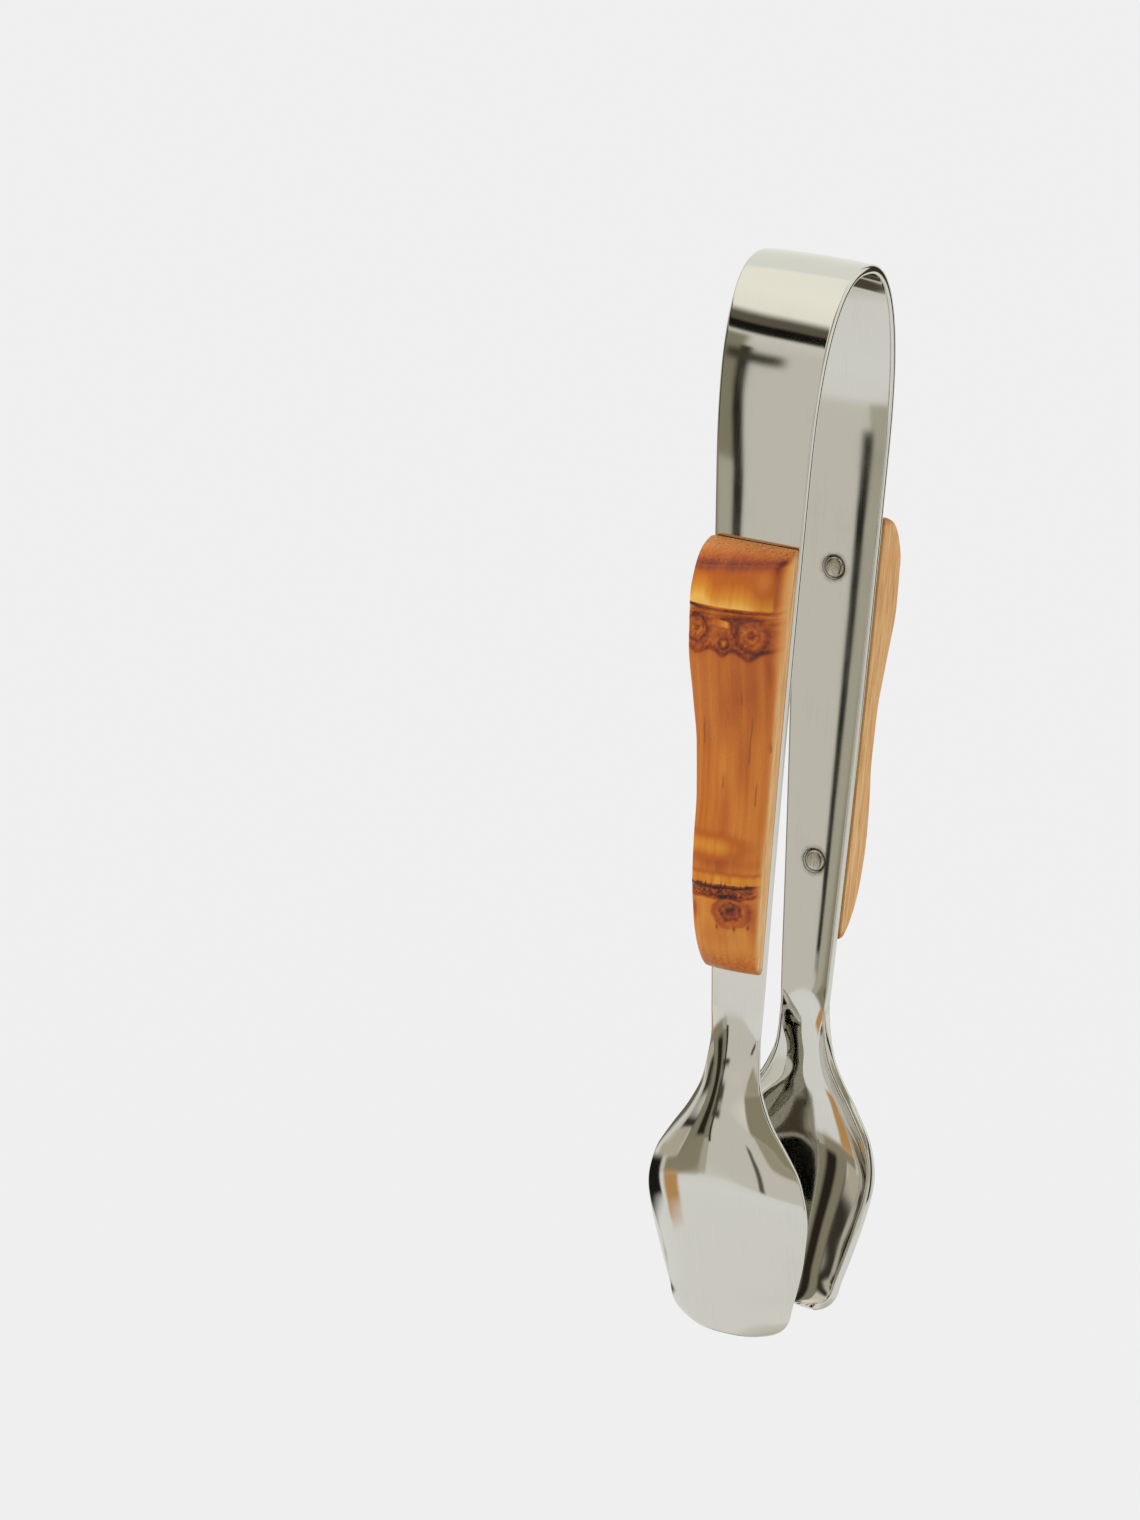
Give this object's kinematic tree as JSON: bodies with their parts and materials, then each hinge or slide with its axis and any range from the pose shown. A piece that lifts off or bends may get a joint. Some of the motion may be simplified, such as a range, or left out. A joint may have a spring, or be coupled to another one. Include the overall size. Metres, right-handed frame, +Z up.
{
  "type": "ice tongs",
  "caption": "Spring ice tongs: a bent satin steel strip ending in facing spoon bowls, with split-bamboo grips pinned to the legs.",
  "frame": {"origin": "midway between the two legs at the height where a cradle holds them, 140 mm above the bowl tips", "axes": "+Z up along the tongs towards the bow, +X across the strip's width, +Y from the front leg to the rear leg"},
  "size_m": [0.0304, 0.0456, 0.1794],
  "materials": {
    "strip_steel": "satin polished, fine lengthwise grain",
    "bamboo": "flame-toned, lacquered bamboo with sanded side faces",
    "pin_steel": "satin"
  },
  "bodies": {
    "bow": {"bow": "strip_steel"},
    "front_leg": {"front_leg": "strip_steel", "front_grip": "bamboo", "front_upper_pin": "pin_steel", "front_lower_pin": "pin_steel"},
    "rear_leg": {"rear_leg": "strip_steel", "rear_grip": "bamboo", "rear_upper_pin": "pin_steel", "rear_lower_pin": "pin_steel"}
  },
  "joints": [
    {"name": "front_squeeze", "type": "hinge", "parent": "bow", "child": "front_leg", "pos_m": [0, -0.00967, 0.03068], "axis": [1, 0, 0], "range_deg": [-1.5, 2.2], "stiffness_Nm_per_rad": 22},
    {"name": "rear_squeeze", "type": "hinge", "parent": "bow", "child": "rear_leg", "pos_m": [0, 0.00967, 0.03068], "axis": [1, 0, 0], "range_deg": [-2.2, 1.5], "stiffness_Nm_per_rad": 22}
  ],
  "couplings": [
    {"joint": "rear_squeeze", "follows": "front_squeeze", "ratio": -1}
  ]
}
